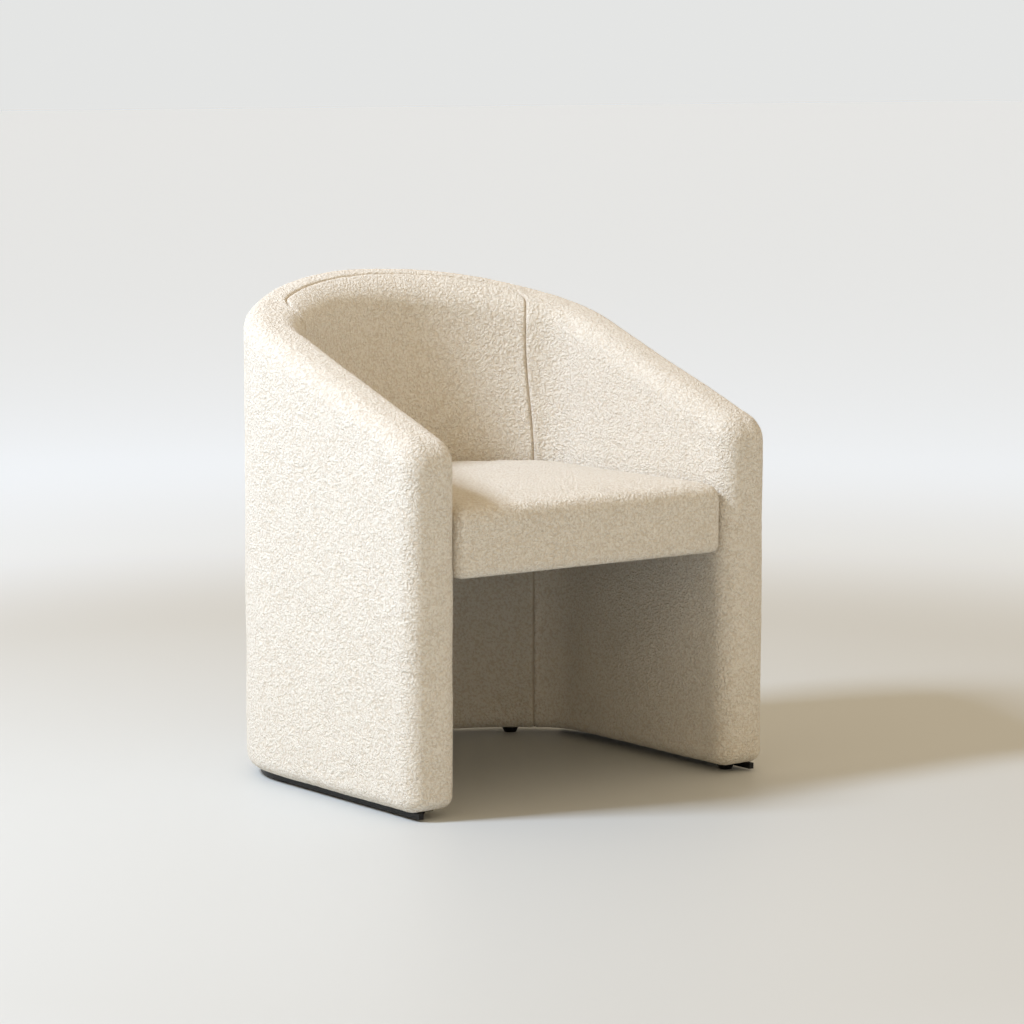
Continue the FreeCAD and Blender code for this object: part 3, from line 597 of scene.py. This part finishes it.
held = cushion.vertex_groups.new(name="held")
grip = 1 - smooth((start[:, 2] - SEAT_BOTTOM) / GRIP_HEIGHT)
for k, weight in enumerate(grip):
    if weight > 0:
        held.add([k], float(weight), "REPLACE")
cloth = cushion.modifiers.new("cloth", "CLOTH")
cloth.settings.quality = 5
cloth.settings.mass = 0.3
cloth.settings.tension_stiffness = CLOTH_STIFFNESS
cloth.settings.compression_stiffness = CLOTH_STIFFNESS
cloth.settings.bending_stiffness = 2
cloth.settings.use_pressure = True
cloth.settings.uniform_pressure_force = CLOTH_PRESSURE
cloth.settings.vertex_group_mass = "held"
cloth.settings.effector_weights.gravity = 0.0
cloth.point_cache.frame_start = 1
cloth.point_cache.frame_end = CLOTH_FRAMES
for step in range(1, CLOTH_FRAMES + 1):
    bpy.context.scene.frame_set(step)
apply_modifiers(cushion)
blown = points_of(cushion.data) - start
bpy.context.scene.frame_set(1)
print("cloth moved up to", round(float(np.abs(blown).max()) / MM, 1), "mm before the limit")

# %% Seat cushion
SEAT_CROWN = 9.0 * MM
SEAT_SIDE_PLAY = 3.0 * MM
FOAM_GIVE = 0.22
SEAT_WAVE = 0.6 * WAVE
SEAT_WAVE_SIZE = 80.0 * MM
SMOOTH_UNDERSIDE = 8.0 * MM

outwards = np.maximum((blown * start_normals).sum(1), 0) * FOAM_GIVE
limit = SEAT_SIDE_PLAY + (SEAT_CROWN - SEAT_SIDE_PLAY) * smooth(start_normals[:, 2])
settled = start + start_normals * (limit * np.tanh(outwards / limit))[:, None]
cushion.data.vertices.foreach_set("co", settled.reshape(-1))
finer = cushion.modifiers.new("finer", "SUBSURF")
finer.levels = finer.render_levels = 1
apply_modifiers(cushion)
fine = points_of(cushion.data)
move = SEAT_WAVE * waviness(fine, SEAT_WAVE_SIZE, 8) + pile(fine)
move *= smooth((fine[:, 2] - SEAT_BOTTOM) / SMOOTH_UNDERSIDE)
fine += normals_of(cushion.data) * move[:, None]
cushion.data.vertices.foreach_set("co", fine.reshape(-1))
cushion.data.update()
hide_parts("seat_cover", "seat_wadding", "seat_front_pad", "seat_foam")
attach(cushion, "root")
print("seat cushion ends with", len(cushion.data.polygons), "faces, top at",
      round(float(fine[:, 2].max()) / MM, 1), "mm")
covers = [wall_cover, back_panel, lower_panel, cushion]

# %% [markdown]
# ## Black cloth underneath
# A thin black non-woven cloth is stapled under the wall and under the seat. It hides the frame
# and keeps dust out. Both pieces lie flat and tight, so there is nothing to simulate: they are
# plain thin sheets, drawn from the same plan. The wall's strip is pieced from a straight roll,
# the seat's is cut to the seat's plan.

# %% Dust cloths
DUST_THICKNESS = 0.6 * MM
WALL_CLOTH_Z = 9.6 * MM
WALL_CLOTH_DEPTHS = (28.0 * MM, 57.0 * MM)
SEAT_CLOTH_Z = 343.2 * MM
SEAT_CLOTH_INSET = 24.0 * MM
STRIP_POINTS = 181


def thicken(obj, thickness):
    """Gives a flat sheet its thickness."""
    solid = obj.modifiers.new("thickness", "SOLIDIFY")
    solid.thickness = thickness
    solid.offset = 0.0
    apply_modifiers(obj)


strip_end = half_run - WALL_CLOTH_DEPTHS[0]
strip_reach = np.linspace(-strip_end, strip_end, STRIP_POINTS)
edges = [np.stack(wall_points(strip_reach, np.full(STRIP_POINTS, d)), axis=1) for d in WALL_CLOTH_DEPTHS]
strip_points = [(px, py, WALL_CLOTH_Z) for edge in edges for px, py in edge]
strip_faces = [(k, k + 1, STRIP_POINTS + k + 1, STRIP_POINTS + k) for k in range(STRIP_POINTS - 1)]
wall_cloth = mesh_from("wall_dust_cloth", strip_points, strip_faces)
thicken(wall_cloth, DUST_THICKNESS)
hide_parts("base_dust_cover")

seat_line = seat_outline(SEAT_CLOTH_INSET)
seat_cloth = mesh_from("seat_dust_cloth", [(px, py, SEAT_CLOTH_Z) for px, py in seat_line],
                       [tuple(range(len(seat_line)))])
thicken(seat_cloth, DUST_THICKNESS)
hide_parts("seat_dust_cover")
for piece in (wall_cloth, seat_cloth):
    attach(piece, "root")

# %% [markdown]
# ## The boucle
# Boucle is woven from yarn whose fibres stand up in small closed curls. Seen close, it is a
# field of round nubs with shadowed gaps between them. Real strands of hair would be the closest
# match, but they are slow and are lost when the chair is exported. So the pile is a height: the
# group below gives it from a position, with a mask of the gaps. Colour and shine stay in the
# material.

# %% Node helpers


def new_group(name, inputs, outputs):
    """Empty shader group with named inputs (socket type, value) and outputs (socket type)."""
    group = bpy.data.node_groups.new(name, "ShaderNodeTree")
    for label, (kind, value) in inputs.items():
        socket = group.interface.new_socket(label, in_out="INPUT", socket_type=kind)
        if value is not None:
            socket.default_value = value
    for label, kind in outputs.items():
        group.interface.new_socket(label, in_out="OUTPUT", socket_type=kind)
    return group, group.nodes.new("NodeGroupInput"), group.nodes.new("NodeGroupOutput")


def add_node(tree, kind, inputs=None, **settings):
    """New node; inputs maps a socket's name or number to a value or to another socket."""
    node = tree.nodes.new(kind)
    for key, value in settings.items():
        setattr(node, key, value)
    for key, value in (inputs or {}).items():
        if isinstance(value, bpy.types.NodeSocket):
            tree.links.new(value, node.inputs[key])
        else:
            node.inputs[key].default_value = value
    return node


def math_node(tree, operation, first, second=0.0, third=0.0):
    """Output of a maths node."""
    node = add_node(tree, "ShaderNodeMath", {0: first, 1: second, 2: third}, operation=operation)
    return node.outputs[0]


# %% Boucle loops
NUB_SIZE = 0.0041
DRIFT = (0.0045, 0.0045, 0.0045)
MOUND_SHARE, STRAND_SHARE, FUZZ_SHARE = 0.62, 0.26, 0.12
GAP_START, GAP_FULL = 0.62, 0.36     # heights between which a gap goes from none to full


def make_boucle_loops():
    """Height of curled pile, and a mask of the gaps between curls."""
    inputs = {"Position": ("NodeSocketVector", None), "Nub Size": ("NodeSocketFloat", NUB_SIZE)}
    outputs = {"Height": "NodeSocketFloat", "Gaps": "NodeSocketFloat"}
    group, given, result = new_group("boucle loops", inputs, outputs)
    place = given.outputs["Position"]
    drift = add_node(group, "ShaderNodeTexNoise", {"Vector": place, "Scale": 230.0, "Detail": 2.0})
    offset = add_node(group, "ShaderNodeVectorMath", {0: drift.outputs["Color"], 1: (0.5, 0.5, 0.5)},
                      operation="SUBTRACT")
    bent = add_node(group, "ShaderNodeVectorMath",
                    {0: offset.outputs[0], 1: DRIFT, 2: place}, operation="MULTIPLY_ADD")
    density = math_node(group, "DIVIDE", 1.0, given.outputs["Nub Size"])
    nubs = add_node(group, "ShaderNodeTexVoronoi",
                    {"Vector": bent.outputs[0], "Scale": density, "Smoothness": 0.4}, feature="SMOOTH_F1")
    mound = math_node(group, "SUBTRACT", 1.0, nubs.outputs["Distance"])
    curl_density = math_node(group, "MULTIPLY", density, 1.15)
    curls = add_node(group, "ShaderNodeTexNoise",
                     {"Vector": bent.outputs[0], "Scale": curl_density, "Detail": 1.0})
    swing = math_node(group, "ABSOLUTE", math_node(group, "SUBTRACT", curls.outputs["Fac"], 0.5))
    strand = math_node(group, "SUBTRACT", 1.0, math_node(group, "MULTIPLY", swing, 5.0))
    strand = math_node(group, "MAXIMUM", strand, 0.0)
    fuzz = add_node(group, "ShaderNodeTexNoise", {"Vector": place, "Scale": 1300.0, "Detail": 2.0})
    height = math_node(group, "MULTIPLY", mound, MOUND_SHARE)
    height = math_node(group, "MULTIPLY_ADD", strand, STRAND_SHARE, height)
    height = math_node(group, "MULTIPLY_ADD", fuzz.outputs["Fac"], FUZZ_SHARE, height)
    gaps = add_node(group, "ShaderNodeMapRange",
                    {"Value": height, "From Min": GAP_START, "From Max": GAP_FULL},
                    interpolation_type="SMOOTHSTEP")
    group.links.new(height, result.inputs["Height"])
    group.links.new(gaps.outputs["Result"], result.inputs["Gaps"])
    return group


boucle_loops = make_boucle_loops()
print("group", boucle_loops.name, "ready")

# %% Material helpers


def new_material(name):
    """Material with a Principled shader, and its node tree and shader."""
    material = bpy.data.materials.new(name)
    material.use_nodes = True
    shader = next(n for n in material.node_tree.nodes if n.type == "BSDF_PRINCIPLED")
    return material, material.node_tree, shader


def use_group(tree, group, **inputs):
    """Node that uses a shader group, with its inputs set."""
    node = tree.nodes.new("ShaderNodeGroup")
    node.node_tree = group
    for key, value in inputs.items():
        label = key.replace("_", " ").title()
        if isinstance(value, bpy.types.NodeSocket):
            tree.links.new(value, node.inputs[label])
        else:
            node.inputs[label].default_value = value
    return node


def object_place(tree):
    """Position in the chair's own frame."""
    return tree.nodes.new("ShaderNodeTexCoord").outputs["Object"]


def mix_colours(tree, share, first, second):
    """Colour output that goes from first to second."""
    node = add_node(tree, "ShaderNodeMix", data_type="RGBA")
    for slot, value in ((0, share), (6, first), (7, second)):
        if isinstance(value, bpy.types.NodeSocket):
            tree.links.new(value, node.inputs[slot])
        else:
            node.inputs[slot].default_value = value
    return node.outputs[2]


def bump(tree, height, distance, strength=1.0):
    """Normal output of a bump over a height."""
    node = add_node(tree, "ShaderNodeBump", {"Height": height, "Distance": distance, "Strength": strength})
    return node.outputs["Normal"]


# %% [markdown]
# ## The cream cloth
# The yarn is a warm cream, matt, with a faint sheen where its fibres meet the light sideways.
# Its gaps look darker and browner than its nubs, because light bounces between the fibres there.
# A flat colour with a bump would look like plaster, so shade is painted into the colour in the
# gaps, and the seams' attribute paints the shadow of each crease along the thread.

# %% Cream boucle
NUB_DARK = (0.90, 0.84, 0.725, 1)
NUB_LIGHT = (0.93, 0.87, 0.755, 1)
# painted shade: a brown tint laid into the gaps between curls and into the seams' creases
GAP_SHADE_TINT = (0.63, 0.50, 0.34, 1)
GAP_SHADE_SHARE = 0.42
# share of painted shade in the crease along each seam
CREASE_SHADE_SHARE = 0.6
PILE_RELIEF = 4.2 * MM


def cream_boucle():
    """Cream looped cloth, with painted shade in its gaps and along its seams."""
    material, tree, shader = new_material("cream boucle")
    place = object_place(tree)
    loops_node = use_group(tree, boucle_loops, position=place)
    worn = add_node(tree, "ShaderNodeTexNoise", {"Vector": place, "Scale": 14.0, "Detail": 2.0})
    light = mix_colours(tree, worn.outputs["Fac"], NUB_DARK, NUB_LIGHT)
    crease = add_node(tree, "ShaderNodeAttribute", attribute_name="crease")
    # paint shade into the gaps between curls and along each seam's crease
    shaded = math_node(tree, "MULTIPLY", loops_node.outputs["Gaps"], GAP_SHADE_SHARE)
    # painted shade along the crease of each seam
    thread = math_node(tree, "MULTIPLY", crease.outputs["Fac"], CREASE_SHADE_SHARE)
    shaded = math_node(tree, "MAXIMUM", shaded, thread)
    colour = mix_colours(tree, shaded, light, GAP_SHADE_TINT)
    tree.links.new(colour, shader.inputs["Base Color"])
    shader.inputs["Roughness"].default_value = 0.95
    shader.inputs["Specular IOR Level"].default_value = 0.15
    shader.inputs["Sheen Weight"].default_value = 0.25
    shader.inputs["Sheen Roughness"].default_value = 0.6
    tree.links.new(bump(tree, loops_node.outputs["Height"], PILE_RELIEF), shader.inputs["Normal"])
    return material


boucle = cream_boucle()
for piece in covers:
    piece.data.materials.append(boucle)
print("cream boucle on", [piece.name for piece in covers])

# %% [markdown]
# ## Timber, plywood and board
# The posts, studs and rails are planed hardwood, the curved ribs are birch plywood, and thin
# brown hardboard spans between them. A picture of wood would have to be unwrapped onto every
# piece, so grain is worked out from the position instead: noise drawn out along the length of
# the wood. Plywood shows its layers as fine level stripes along every cut edge.

# %% Wood grain and plies


def make_wood_grain():
    """Streaks of early and late wood, drawn out along the group's third axis."""
    inputs = {"Position": ("NodeSocketVector", None), "Streak Width": ("NodeSocketFloat", 0.004)}
    group, given, result = new_group("wood grain", inputs, {"Grain": "NodeSocketFloat"})
    squashed = add_node(group, "ShaderNodeVectorMath", {0: given.outputs["Position"], 1: (1.0, 1.0, 0.06)},
                        operation="MULTIPLY")
    density = math_node(group, "DIVIDE", 1.0, given.outputs["Streak Width"])
    broad = add_node(group, "ShaderNodeTexNoise",
                     {"Vector": squashed.outputs[0], "Scale": density, "Detail": 4.0, "Distortion": 0.6})
    fine = add_node(group, "ShaderNodeTexNoise",
                    {"Vector": squashed.outputs[0], "Scale": math_node(group, "MULTIPLY", density, 6.0)})
    grain = math_node(group, "MULTIPLY_ADD", fine.outputs["Fac"], 0.3,
                      math_node(group, "MULTIPLY", broad.outputs["Fac"], 0.7))
    group.links.new(grain, result.inputs["Grain"])
    return group


def make_plies():
    """Level layers of veneer, about 1.4 mm each."""
    inputs = {"Position": ("NodeSocketVector", None), "Ply": ("NodeSocketFloat", 0.0014)}
    group, given, result = new_group("plies", inputs, {"Layer": "NodeSocketFloat"})
    height = add_node(group, "ShaderNodeSeparateXYZ", {0: given.outputs["Position"]}).outputs["Z"]
    turns = math_node(group, "DIVIDE", height, math_node(group, "MULTIPLY", given.outputs["Ply"], 2.0))
    wave = math_node(group, "SINE", math_node(group, "MULTIPLY", turns, 2 * math.pi))
    layer = math_node(group, "GREATER_THAN", wave, 0.0)
    group.links.new(layer, result.inputs["Layer"])
    return group


wood_grain, plies = make_wood_grain(), make_plies()
print("groups ready:", wood_grain.name, plies.name)

# %% [markdown]
# ## Felt, wadding and foam
# Felt, wadding and the black non-woven cloth are all matted fibres, and only their colour and
# the thickness of a fibre differ. One group serves them all: noise drawn out three ways, of
# which the highest wins. Foam is a heap of small open cells, much like a Voronoi pattern.

# %% Fibres and cells


def make_fibres():
    """Felted fibres lying every way, as used in felt, wadding and non-woven cloth."""
    inputs = {"Position": ("NodeSocketVector", None), "Fibre": ("NodeSocketFloat", 0.0012)}
    group, given, result = new_group("felted fibres", inputs, {"Fibres": "NodeSocketFloat"})
    density = math_node(group, "DIVIDE", 1.0, given.outputs["Fibre"])
    strands = []
    for stretch in ((1.0, 0.2, 0.5), (0.2, 1.0, 0.5), (0.6, 0.6, 1.0)):
        drawn = add_node(group, "ShaderNodeVectorMath", {0: given.outputs["Position"], 1: stretch},
                         operation="MULTIPLY")
        strand = add_node(group, "ShaderNodeTexNoise", {"Vector": drawn.outputs[0], "Scale": density})
        strands.append(strand.outputs["Fac"])
    top = math_node(group, "MAXIMUM", math_node(group, "MAXIMUM", *strands[:2]), strands[2])
    group.links.new(top, result.inputs["Fibres"])
    return group


def make_cells():
    """Open cells of foam."""
    inputs = {"Position": ("NodeSocketVector", None), "Cell": ("NodeSocketFloat", 0.0011)}
    group, given, result = new_group("foam cells", inputs, {"Cells": "NodeSocketFloat"})
    density = math_node(group, "DIVIDE", 1.0, given.outputs["Cell"])
    cells = add_node(group, "ShaderNodeTexVoronoi", {"Vector": given.outputs["Position"], "Scale": density})
    group.links.new(cells.outputs["Distance"], result.inputs["Cells"])
    return group


fibres, cells = make_fibres(), make_cells()
print("groups ready:", fibres.name, cells.name)

# %% [markdown]
# ## Finishes inside and below
# Each finish has two tones, a darker and a lighter one, and a mask that says where each shows.
# The same mask raises the surface a little, as real grain, fibres and cells do. The screws and
# washers are zinc plated, the springs lacquered, and the glides and strips moulded in black.

# %% Two-tone finishes


def two_tone(name, mask, first, second, roughness, bump_distance, metallic=0.0):
    """Material whose colour and relief both follow one mask; mask makes a socket from a tree."""
    material, tree, shader = new_material(name)
    value = mask(tree)
    tree.links.new(mix_colours(tree, value, (*first, 1), (*second, 1)), shader.inputs["Base Color"])
    tree.links.new(bump(tree, value, bump_distance), shader.inputs["Normal"])
    shader.inputs["Roughness"].default_value = roughness
    shader.inputs["Metallic"].default_value = metallic
    shader.inputs["Specular IOR Level"].default_value = 0.3
    return material


def grain_mask(tree):
    """Streaks of planed wood."""
    return use_group(tree, wood_grain, position=object_place(tree)).outputs["Grain"]


def ply_mask(tree):
    """Layers of veneer."""
    return use_group(tree, plies, position=object_place(tree)).outputs["Layer"]


def fibre_mask(tree):
    """Matted fibres."""
    return use_group(tree, fibres, position=object_place(tree)).outputs["Fibres"]


def cell_mask(tree):
    """Open cells of foam."""
    return use_group(tree, cells, position=object_place(tree)).outputs["Cells"]


def cloud_mask(tree):
    """Slow mottling, for plating, lacquer and moulded plastic."""
    cloud = add_node(tree, "ShaderNodeTexNoise",
                     {"Vector": object_place(tree), "Scale": 90.0, "Detail": 4.0})
    return cloud.outputs["Fac"]


finishes = {
    "boucle": boucle,
    "timber": two_tone("planed hardwood", grain_mask,
                       (0.50, 0.33, 0.18), (0.74, 0.56, 0.36), 0.6, 0.0003),
    "plywood": two_tone("birch plywood", ply_mask,
                        (0.52, 0.37, 0.22), (0.76, 0.61, 0.42), 0.6, 0.0001),
    "panel_board": two_tone("hardboard", fibre_mask,
                            (0.20, 0.12, 0.07), (0.38, 0.25, 0.15), 0.55, 0.0002),
    "foam": two_tone("foam", cell_mask,
                     (0.72, 0.67, 0.45), (0.88, 0.85, 0.68), 0.9, 0.0006),
    "wadding": two_tone("polyester wadding", fibre_mask,
                        (0.78, 0.78, 0.76), (0.95, 0.95, 0.93), 0.95, 0.0015),
    "felt": two_tone("needled felt", fibre_mask,
                     (0.24, 0.22, 0.21), (0.50, 0.48, 0.45), 0.95, 0.001),
    "dust_cloth": two_tone("black non-woven cloth", fibre_mask,
                           (0.012, 0.012, 0.012), (0.045, 0.045, 0.045), 0.85, 0.0004),
    "spring_steel": two_tone("lacquered spring wire", cloud_mask,
                             (0.02, 0.02, 0.022), (0.05, 0.05, 0.055), 0.35, 0.0001, metallic=0.4),
    "zinc_steel": two_tone("zinc plate", cloud_mask,
                           (0.58, 0.56, 0.50), (0.78, 0.77, 0.73), 0.32, 0.0001, metallic=1.0),
    "black_plastic": two_tone("satin black plastic", cloud_mask,
                              (0.003, 0.003, 0.003), (0.007, 0.0065, 0.006), 0.42, 0.0001),
}
for name, node in nodes.items():
    slot = node.data.materials[0].name.split(".")[0]
    node.data.materials.clear()
    node.data.materials.append(finishes[slot])
for piece in (wall_cloth, seat_cloth):
    piece.data.materials.append(finishes["dust_cloth"])
print(len(finishes), "finishes on", len(nodes), "CAD pieces")

# %% [markdown]
# ## The stage
# A studio floor is often a paper roll that curves up behind the chair, so that no line divides
# floor and wall. A flat floor does the same here, with less to build: it whitens with distance,
# and far away it glows a little, until it meets a surround of the same brightness.

# %% Floor
FLOOR_SIZE = 120.0
NEAR_FLOOR = (0.62, 0.635, 0.62, 1)
FAR_FLOOR = (0.83, 0.90, 0.97, 1)
FAR_GLOW = (0.188, 0.254, 0.358, 1)
WHITENING = (1.45, 2.7)      # metres from the chair
GLOWING = (1.7, 4.5)


def smooth_range(tree, value, start, end):
    """Output that eases from 0 to 1 while a value goes from start to end."""
    node = add_node(tree, "ShaderNodeMapRange", {"Value": value, "From Min": start, "From Max": end},
                    interpolation_type="SMOOTHSTEP")
    return node.outputs["Result"]


def pale_floor():
    """Pale grey floor that whitens away from the chair."""
    material, tree, shader = new_material("pale floor")
    place = object_place(tree)
    far = add_node(tree, "ShaderNodeVectorMath", {0: place}, operation="LENGTH")
    fade = smooth_range(tree, far.outputs["Value"], *WHITENING)
    tree.links.new(mix_colours(tree, fade, NEAR_FLOOR, FAR_FLOOR), shader.inputs["Base Color"])
    glow = smooth_range(tree, far.outputs["Value"], *GLOWING)
    gleam = mix_colours(tree, glow, (0, 0, 0, 1), FAR_GLOW)
    tree.links.new(gleam, shader.inputs["Emission Color"])
    shader.inputs["Emission Strength"].default_value = 1.0
    shader.inputs["Roughness"].default_value = 0.5
    shader.inputs["Specular IOR Level"].default_value = 0.3
    return material


half = FLOOR_SIZE / 2
floor_corners = [(-half, -half, 0), (half, -half, 0), (half, half, 0), (-half, half, 0)]
floor = mesh_from("floor", floor_corners, [(0, 1, 2, 3)])
floor.data.materials.append(pale_floor())
print("floor of", FLOOR_SIZE, "m")

# %% [markdown]
# ## The light
# One soft light stands high on the left, like a studio window, and gives the chair a bright side
# and a shaded side. The surround fills the shade. It is warmer overhead than at the horizon, so
# that the shade turns warm, while the window is a little cool and keeps the lit cloth cream.

# %% Window and surround
WINDOW_PLACE = (-3.1, 0.83, 3.5)
WINDOW_SIZE = 0.9
WINDOW_POWER = 222.0
WINDOW_COLOUR = (0.70, 0.81, 1.0)
WINDOW_TARGET = Vector((0, 0, 0.4))
HORIZON_COLOUR = (0.778, 0.784, 0.776, 1)
CEILING_COLOUR = (0.70, 0.575, 0.41, 1)
CLIMB = (0.03, 0.2)          # how far up the surround its colour changes


def soft_light(name, place, size, power, colour):
    """Square area light that looks at the chair."""
    data = bpy.data.lights.new(name, "AREA")
    data.size = size
    data.energy = power
    data.color = colour
    light = bpy.data.objects.new(name, data)
    light.location = place
    light.rotation_euler = (WINDOW_TARGET - Vector(place)).to_track_quat("-Z", "Y").to_euler()
    bpy.context.scene.collection.objects.link(light)
    return light


window = soft_light("window", WINDOW_PLACE, WINDOW_SIZE, WINDOW_POWER, WINDOW_COLOUR)
world = bpy.data.worlds.new("studio")
world.use_nodes = True
world_tree = world.node_tree
around = world_tree.nodes.new("ShaderNodeTexCoord").outputs["Generated"]
direction = add_node(world_tree, "ShaderNodeSeparateXYZ", {0: around})
climb = smooth_range(world_tree, direction.outputs["Z"], *CLIMB)
sky = mix_colours(world_tree, climb, HORIZON_COLOUR, CEILING_COLOUR)
world_tree.links.new(sky, world_tree.nodes["Background"].inputs["Color"])
bpy.context.scene.world = world
bpy.context.scene.view_settings.view_transform = "Standard"
print("stage set with", window.name)
